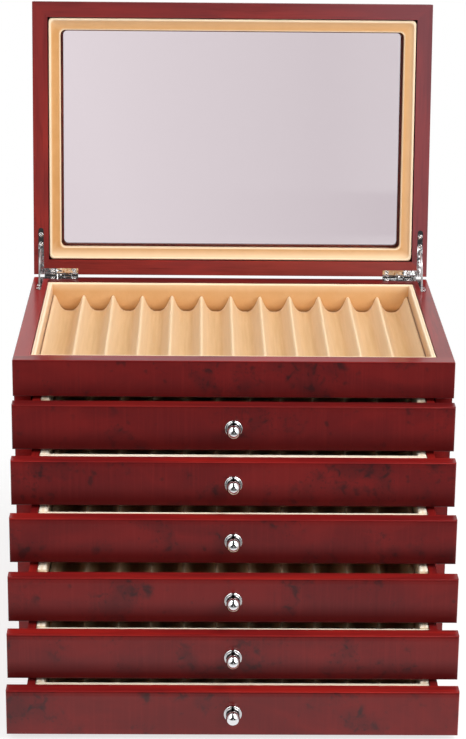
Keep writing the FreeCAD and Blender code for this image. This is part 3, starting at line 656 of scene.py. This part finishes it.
def groove_section(width, height):
    """Top line of a tray across its width: round grooves between soft crests."""
    corner = TRAY_EDGE_RADIUS
    half = GROOVE_PITCH / 2
    count, first = groove_layout(width)
    # the wall of a groove follows a power curve, and a parabola rounds the crest
    turn = 1 - CREST_HALF_WIDTH / half
    slope = GROOVE_POWER * turn ** (GROOVE_POWER - 1)
    lost = (1 - turn ** GROOVE_POWER) - slope * (1 - turn) / 2
    deep = GROOVE_DEPTH / (1 - lost)
    line = [(0.0, height - corner), (corner * 0.3, height - corner * 0.3), (corner, height)]
    for index in range(count):
        middle = first + (index + 0.5) * GROOVE_PITCH
        for k in range(-GROOVE_STEPS, GROOVE_STEPS + 1):
            u = math.copysign(1 - (1 - abs(k) / GROOVE_STEPS) ** STEP_CROWDING, k)
            if abs(u) < turn:
                depth = 1 - abs(u) ** GROOVE_POWER - lost
            else:
                depth = slope / (2 * (1 - turn)) * (1 - abs(u)) ** 2
            line.append((middle + u * half, height - deep * depth))
    line += [(width - corner, height), (width - corner * 0.3, height - corner * 0.3),
             (width, height - corner)]
    clean = [line[0]]
    for point in line[1:]:
        if math.dist(point, clean[-1]) > LEAST_STEP:
            clean.append(point)
    return clean


def painted_light_mark(over, depth, wall_light, crest_highlight):
    """Painted light on a tray's cloth: a painted highlight on the crests, and paler walls beside
    them where light falls.

    over runs across a groove, from 0 at its left crest to 1 at its right one."""
    left, reach = LEFT_WALL_LIGHT
    right, start, growth = RIGHT_WALL_LIGHT
    left_wall = left * max(0.0, 1 - over / reach)
    right_wall = right * min(1.0, max(0.0, (over - start) / growth)) ** 1.3
    crest = crest_highlight * math.exp(-(depth / CREST_FADE) ** 1.5)
    return max(crest, wall_light * left_wall, wall_light * right_wall)


def tray_piece(node, name, body, wall_light=1.0, crest_highlight=0.66):
    """Suede over a formed tray: its crests wander a little and its ends are rolled over."""
    low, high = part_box(node)
    width, length, height = high - low
    _, first = groove_layout(width)
    section = groove_section(width, height) + [(width, height * 0.5), (width, 0.0)]
    section += [(width * (1 - k / UNDER_STEPS), 0.0) for k in range(1, UNDER_STEPS)]
    section += [(0.0, 0.0), (0.0, height * 0.5)]
    ends = [0.0, TRAY_ROLL * 0.3, TRAY_ROLL]
    middle = [TRAY_ROLL + (length - 2 * TRAY_ROLL) * k / TRAY_STATIONS
              for k in range(1, TRAY_STATIONS)]
    waver, sink = UPPER_WANDER
    upper_x, upper_y, upper_z = UPPER_SCALES
    sway_x, sway_y, sway_z = SWAY_SCALES
    rings, marks = [], []
    for y in ends + middle + [length - e for e in reversed(ends)]:
        edge = min(y, length - y) / TRAY_ROLL
        drop = TRAY_ROLL * 0.7 * max(0.0, 1 - edge) ** 2
        ring = []
        for x, z in section:
            depth = height - z
            over = (x - first) / GROOVE_PITCH % 1.0
            above = depth < GROOVE_DEPTH + MM
            marks.append(painted_light_mark(over, depth, wall_light, crest_highlight) if above else 0.0)
            lift = 0.0
            if z > height * 0.1:
                spot = Vector((x * upper_x + low.z * upper_z, y * upper_y, 0.3))
                lift = noise.noise(spot) * waver - sink
            spot = Vector((x * sway_x, y * sway_y, low.z * sway_z + 9))
            sway = noise.noise(spot) * CREST_SWAY * min(1.0, min(x, width - x) / SWAY_MARGIN)
            sway *= max(0.0, min(1.0, (z / height - SWAY_FOOT) * 2))
            gape = END_GAPE * min(1.0, depth / GROOVE_DEPTH) ** 2 * max(0.0, 1 - edge / 3)
            gape = math.copysign(gape, length / 2 - y) if z > 0 else 0.0
            ring.append(Vector((low.x + x + sway, low.y + y + gape,
                                low.z + max(0.0, z + lift - drop * (z > 0)))))
        rings.append(ring)
    points, faces = ring_loft(rings)
    piece = mesh_piece(name, points, faces, TRAY_SUEDE, marks)
    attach(piece, body)
    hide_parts(node)


# ---- padded frame of the lid --------------------------------------------------------------------
LID_FRAME_WIDTH = 10.5 * MM
OUTER_CORNER = 3.2 * MM
INNER_CORNER = 4.2 * MM
LID_FRAME_STEP = 7 * MM
# distance in from the wall and depth below the lid's rim, in mm, and painted highlight on the cloth
LID_FRAME_SECTION = (
    (0.55, 3.5, 0), (0.60, 1.8, 0.1), (0.70, 0.9, 0.5), (0.95, 0.30, 0.9), (1.30, 0.02, 1.0),
    (1.80, 0.0, 1.0), (2.3, 0.15, 0.9), (2.8, 0.50, 0.45), (3.3, 0.95, 0.1), (3.9, 1.35, 0),
    (4.8, 1.75, 0), (6.2, 2.10, 0), (7.8, 2.25, 0), (8.8, 2.25, 0), (9.4, 2.20, 0.2),
    (9.85, 2.22, 0.7), (10.2, 2.45, 0.9), (10.42, 2.85, 0.5), (10.5, 3.4, 0.1), (10.3, 5.5, 0),
    (9.9, 9.0, 0),
)
FACE_RINGS = range(3, 19)    # of the whole section, those of the face that shows
FACE_WANDER = (0.18 * MM, 0.10 * MM)     # how far the face wavers, and lies in from its place
FACE_SCALE = 55
LID_STRIP_LIGHT = (0.52, 0.28, 0.22)    # painted light on the cloth: beside the hinges, right, top
STRIP_LIGHT_REACH = 1.05 * LID_FRAME_WIDTH       # distance from the wall where that painted light has faded
STRIP_LIGHT_STEEPNESS = 1.6


def closed_lid_box(node):
    """Box of a lid node with the lid turned shut."""
    shut = about_hinge(LID_ANGLE)
    array = np.array([tuple(shut @ v.co) for v in NODES[node].data.vertices])
    return Vector(array.min(0)), Vector(array.max(0))


def lid_lining_piece():
    """One padded frame: rolled outer and inner edges and a slightly dished face."""
    low, high = closed_lid_box("lid_lining")
    centre = (low + high) / 2
    under = (high.z - low.z) / MM
    section = [(0.55, under, 0), *LID_FRAME_SECTION, (9.6, under - 0.2, 0), (9.4, under, 0),
               (5.0, under, 0)]
    rings = []
    for inset, depth, _ in section:
        inset *= MM
        radius = OUTER_CORNER + (INNER_CORNER - OUTER_CORNER) * inset / LID_FRAME_WIDTH
        outline = rounded_rectangle((high.x - low.x) / 2 - inset, (high.y - low.y) / 2 - inset,
                                    radius)
        rings.append([(centre.x + x, centre.y + y, low.z + depth * MM) for x, y in outline])
    cuts = cuts_of(rings[0], LID_FRAME_STEP)    # the same for every ring

    def near(distance):
        return min(1.0, STRIP_LIGHT_STEEPNESS * max(0.0, 1 - distance / STRIP_LIGHT_REACH))

    open_up = about_hinge(-LID_ANGLE)
    waver, sink = FACE_WANDER
    by_hinges, by_right, by_top = LID_STRIP_LIGHT
    points, marks = [], []
    for index, ring in enumerate(rings):
        for p in subdivided(ring, cuts):
            if index in FACE_RINGS:
                p.z += noise.noise(p * FACE_SCALE) * waver + sink
            # painted light, different on each strip: palest beside the hinges
            nap = max(by_hinges * near(high.y - p.y), by_right * near(high.x - p.x),
                      by_top * near(p.y - low.y))
            points.append(open_up @ p)
            marks.append(max(section[index][2], nap))
    columns = sum(cuts)
    faces = grid_faces(len(rings), columns)
    last = len(points) - columns
    for j in range(columns):    # the last ring joins the first: the section is closed
        k = (j + 1) % columns
        faces.append((last + j, last + k, k, j))
    piece = mesh_piece("lid_suede_frame", points, faces, LID_SUEDE, marks)
    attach(piece, "lid")
    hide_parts("lid_lining")


# ---- felt under the base ------------------------------------------------------------------------
FELT_CORNER = 2.5 * MM
FELT_STEP = 5 * MM
FELT_WANDER = 0.12 * MM
FELT_SCALE = 90
# distance in from the edge in mm, height as a share of the thickness
FELT_SECTION = ((6.0, 1.0), (0.4, 1.0), (0.05, 0.7), (0.0, 0.3), (0.4, 0.0), (6.0, 0.0))


def felt_piece():
    """Felt sheet with softly cut, slightly uneven edges."""
    low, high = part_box("base_felt")
    centre = (low + high) / 2
    half = (high - low) / 2
    outline = rounded_rectangle(half.x, half.y, FELT_CORNER)
    outline = subdivided(outline, cuts_of(outline, FELT_STEP))
    rings = []
    for inset, level in FELT_SECTION:
        ring = []
        for x, y in outline:
            spot = Vector((x * FELT_SCALE, y * FELT_SCALE, 0))
            wander = FELT_WANDER * (noise.noise(spot) + 1) / 2
            scale_x = (half.x - inset * MM - wander) / half.x
            scale_y = (half.y - inset * MM - wander) / half.y
            ring.append((centre.x + x * scale_x, centre.y + y * scale_y,
                         low.z + level * (high.z - low.z)))
        rings.append(ring)
    points, faces = ring_loft(rings)
    piece = mesh_piece("base_felt_sheet", points, faces, FELT)
    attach(piece, "case")
    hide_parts("base_felt")


# ---- screws of the hinges, in mm ----------------------------------------------------------------
SCREW_PLACES = ((158.9, 87.45), (158.9, 79.45), (131.2, 109.8), (149.2, 109.8))    # right side
SCREW_HEAD_RADIUS = 1.8
SCREW_DOME = 0.22
SCREW_SINK = 0.9             # from a head's rim to its underside
RECESS_HALF_WIDTH = 0.25
RECESS_REACH = 1.0
RECESS_DEPTH = 0.42
# lines of a head's grid on one side of its middle, in pairs beside the recess's walls
SCREW_LINES = (0.21, 0.27, 0.60, 0.95, 1.05, 1.40, SCREW_HEAD_RADIUS)


def screw_head(x, y, turn):
    """Raised countersunk head with a cross recess, its rim in the plane z = 0."""
    lines = [-v for v in reversed(SCREW_LINES)] + [0.0, *SCREW_LINES]
    count = len(lines)
    points = []
    for u in lines:
        for v in lines:
            # a square grid drawn in to a disc
            px = u * math.sqrt(1 - (v / SCREW_HEAD_RADIUS) ** 2 / 2)
            py = v * math.sqrt(1 - (u / SCREW_HEAD_RADIUS) ** 2 / 2)
            reach = math.hypot(px, py) / SCREW_HEAD_RADIUS
            rise = SCREW_DOME * (1 - reach ** 2.4)
            narrow, wide = sorted((abs(u), abs(v)))
            if narrow < RECESS_HALF_WIDTH and wide < RECESS_REACH:
                rise -= RECESS_DEPTH * (1 - 0.35 * reach)
            points.append((px, py, rise))
    faces = grid_faces(count, count, closed=False)
    border = [k for k in range(count)] + [k * count + count - 1 for k in range(1, count)]
    border += [(count - 1) * count + k for k in range(count - 2, -1, -1)]
    border += [k * count for k in range(count - 2, 0, -1)]
    start = len(points)
    points += [(points[k][0] / 2, points[k][1] / 2, -SCREW_SINK) for k in border]
    size = len(border)
    for j in range(size):
        k = (j + 1) % size
        faces.append((border[k], border[j], start + j, start + k))
    faces.append(tuple(start + j for j in range(size)))
    across, along = math.cos(turn), math.sin(turn)
    placed = [Vector((x + px * across - py * along, y + px * along + py * across, pz))
              for px, py, pz in points]
    return placed, faces, [0.0] * len(placed)


def screws_piece(node, name, body, place):
    """The eight screws of one pair of hinge leaves, each turned another way."""
    points, faces, _ = gathered(screw_head(side * x, y, 0.5 + 1.9 * index + side)
                                for side in (-1, 1)
                                for index, (x, y) in enumerate(SCREW_PLACES))
    piece = mesh_piece(name, [place @ (p * MM) for p in points], faces, SCREW_METAL)
    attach(piece, body)
    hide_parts(node)


# ---- the pieces ---------------------------------------------------------------------------------
FRONT_LINER_DROPS = (3.0, 0.1, 0.9, 3.0, 1.5, 0.9)     # mm, from the top drawer down
UPSIDE_DOWN = Matrix.Diagonal((1, 1, -1, 1))

screws_piece("body_hinge_screws", "body_screw_heads", "case", Matrix.Translation((0, 0, RIM)))
screws_piece("lid_hinge_screws", "lid_screw_heads", "lid",
             about_hinge(-LID_ANGLE) @ Matrix.Translation((0, 0, RIM + LID_GAP)) @ UPSIDE_DOWN)
lining_piece("compartment_lining", "compartment_suede_strips", "case", SUEDE,
             thickness=4.2 * MM, front_drop=0.0, radius=1.1 * MM, crown=0.25 * MM)
tray_piece("compartment_tray", "compartment_suede_tray", "case")
for number, drop in enumerate(FRONT_LINER_DROPS, 1):
    body = "drawer_%d" % number
    lining_piece(body + "_lining", body + "_suede_strips", body, DRAWER_SUEDE,
                 thickness=7.0 * MM, front_drop=drop * MM, radius=1.3 * MM, crown=0.3 * MM)
    tray_piece(body + "_tray", body + "_suede_tray", body, wall_light=0.3, crest_highlight=0.95)
lid_lining_piece()
felt_piece()


# ---- stage: floor, world, lamps and camera ------------------------------------------------------
WHITE = rgb(1.0, 1.0, 1.0)
FLOOR_REACH = 6.0
# brightness of the mirrored floor by the distance from the object
FLOOR_LEVELS = ((0.30, 1.0), (0.40, 0.76), (0.485, 0.43), (0.58, 0.26), (0.72, 0.10))
FLOOR_SIDE_LEVEL = 0.92
DARK_HALF_WIDTH = (0.42, 0.54)    # of the floor's dark part: where its edge begins and ends
DARK_WIDENING = (0.60, 0.62)      # the distance from which that part widens, and how fast
# name, place, height of its aim, size, power
LAMPS = (
    ("left_softbox", (-1.30, -1.25, 1.25), 0.22, 1.1, 8),
    ("right_softbox", (1.35, -1.20, 1.20), 0.22, 1.1, 23),
    ("top_left_softbox", (-0.80, -0.15, 1.80), 0.20, 0.75, 6),
    ("top_right_softbox", (0.80, -0.15, 1.80), 0.20, 0.75, 14),
)
CAMERA_PLACE = Vector((-0.02633, -1.6808, 0.7657))
CAMERA_TURNS = (0.3179, 0.0163, 0.0110)    # pitch, yaw and roll, in radians
SENSOR = 36.0
FOCUS = 2217.95 / 739        # focal length over the picture's height


def floor():
    """Pale floor that shows white behind the object and keeps its shadow.

    In reflections it is white round the object and darkens away from it, between white sides;
    farther off the dark part widens."""
    s = Shader("studio_floor")
    distance = s.add("VectorMath", {"operation": "LENGTH"}, i0=s.coords()).outputs["Value"]
    pale = s.add("BsdfDiffuse", Color=rgb(0.80, 0.80, 0.80))
    # to the camera: a faint shadow near the object, plain white farther off
    glow = s.add("Emission", Color=WHITE, Strength=0.72)
    faint = s.add("BsdfDiffuse", Color=rgb(0.34, 0.34, 0.34))
    close = s.add("AddShader", i0=faint.outputs[0], i1=glow.outputs[0])
    white = s.add("Emission", Color=WHITE, Strength=1.0)
    seen = s.blend(s.ramp(distance, 0.28, 0.55), close, white)
    # in reflections
    darkening = s.add("ValToRGB", Fac=distance)
    ramp = darkening.color_ramp
    nearest, *between, farthest = FLOOR_LEVELS
    for element, (spot, level) in zip(ramp.elements, (nearest, farthest)):
        element.position, element.color = spot, rgb(level, level, level)
    for spot, level in between:
        ramp.elements.new(spot).color = rgb(level, level, level)
    begins, rate = DARK_WIDENING
    wider = s.times(s.math("MAXIMUM", s.minus(distance, begins), 0.0), rate)
    across = s.minus(s.math("ABSOLUTE", s.along("X")), wider)
    to_side = s.mix(s.ramp(across, *DARK_HALF_WIDTH), darkening.outputs["Color"],
                    rgb(FLOOR_SIDE_LEVEL, FLOOR_SIDE_LEVEL, FLOOR_SIDE_LEVEL))
    mirrored = s.add("Emission", Color=to_side, Strength=1.0)
    lit = s.blend(s.any_ray("Is Glossy Ray"), pale, mirrored)
    s.finish(s.blend(s.any_ray("Is Camera Ray", "Is Transmission Ray"), lit, seen))
    corners = [(-FLOOR_REACH, -FLOOR_REACH, 0), (FLOOR_REACH, -FLOOR_REACH, 0),
               (FLOOR_REACH, FLOOR_REACH, 0), (-FLOOR_REACH, FLOOR_REACH, 0)]
    piece = mesh_piece("floor", corners, [(0, 1, 2, 3)], s.material)


def world():
    """White to the camera and through glass; a light tent with dark gaps in reflections."""
    sky = bpy.data.worlds.new("studio")
    bpy.context.scene.world = sky
    sky.use_nodes = True
    s = Graph(sky.node_tree)
    x, y, z = (s.along(axis, "Generated") for axis in "XYZ")
    # the front of the tent is open: a dark slit round the camera that narrows upwards, between
    # white sides; the tent's back is white too, but for a slit overhead
    aside = s.math("ABSOLUTE", s.math("ADD", x, 0.02))
    half_slit = s.ramp(z, 0.38, 0.72, 0.66, 0.20)
    sides = s.ramp(s.minus(aside, half_slit), 0.0, 0.06)
    overhead_slit = s.times(s.ramp(aside, 0.20, 0.26, 1.0, 0.0), s.ramp(z, 0.45, 0.50))
    back = s.times(s.ramp(y, -0.25, 0.10, 0.0, 0.90), s.minus(1.0, overhead_slit))
    # a grey card in front, lighter on its right and with a dark gap across it, that the open lid
    # and its hinges mirror
    shade = s.math("ADD", s.ramp(x, -0.02, 0.05, 0.08, 0.45), s.ramp(x, 0.05, 0.09, 0.0, 1.7))
    gap = s.times(s.ramp(z, 0.016, 0.020, 0.0, 0.9), s.ramp(z, 0.036, 0.040, 1.0, 0.0))
    upright = s.times(s.ramp(z, 0.17, 0.20, 1.0, 0.0), s.ramp(y, -0.90, -0.85, 1.0, 0.0))
    extent = s.times(s.ramp(aside, 0.16, 0.19, 1.0, 0.0), upright)
    card = s.times(s.times(shade, s.minus(1.0, gap)), extent)
    level = s.math("MAXIMUM", s.math("MAXIMUM", sides, back), card)
    tent = s.add("Background", Color=WHITE, Strength=s.math("ADD", s.times(level, 0.93), 0.04))
    ambient = s.add("Background", Color=rgb(1.0, 0.985, 0.97), Strength=0.34)
    white = s.add("Background", Color=WHITE, Strength=1.0)
    lit = s.blend(s.any_ray("Is Glossy Ray"), ambient, tent)
    final = s.blend(s.any_ray("Is Camera Ray", "Is Transmission Ray"), lit, white)
    s.add("OutputWorld", Surface=final.outputs[0])


def lamp(name, place, aim_height, size, power):
    """Square soft lamp that looks at the chest's middle line."""
    data = bpy.data.lights.new(name, "AREA")
    data.shape = "SQUARE"
    data.size = size
    data.energy = power
    data.color = (1.0, 0.985, 0.965)
    thing = bpy.data.objects.new(name, data)
    bpy.context.scene.collection.objects.link(thing)
    thing.location = place
    thing.rotation_mode = "QUATERNION"
    view = Vector((0, 0, aim_height)) - Vector(place)
    thing.rotation_quaternion = view.to_track_quat("-Z", "Y")


def camera():
    """Camera at the photograph's viewpoint."""
    data = bpy.data.cameras.new("camera")
    thing = bpy.data.objects.new("camera", data)
    bpy.context.scene.collection.objects.link(thing)
    data.lens = FOCUS * SENSOR
    data.sensor_width = SENSOR
    data.clip_start, data.clip_end = 0.05, 50.0
    pitch, yaw, roll = CAMERA_TURNS
    look = Vector((math.sin(yaw) * math.cos(pitch), math.cos(yaw) * math.cos(pitch),
                   -math.sin(pitch)))
    right = Vector((math.cos(yaw), -math.sin(yaw), 0))
    up = right.cross(look)
    axis_x = right * math.cos(roll) + up * math.sin(roll)
    axis_y = up * math.cos(roll) - right * math.sin(roll)
    turn = Matrix((axis_x, axis_y, -look)).transposed().to_4x4()
    thing.matrix_world = Matrix.Translation(CAMERA_PLACE) @ turn
    bpy.context.scene.camera = thing


floor()
world()
for settings in LAMPS:
    lamp(*settings)
camera()
bpy.context.scene.view_settings.view_transform = "Standard"
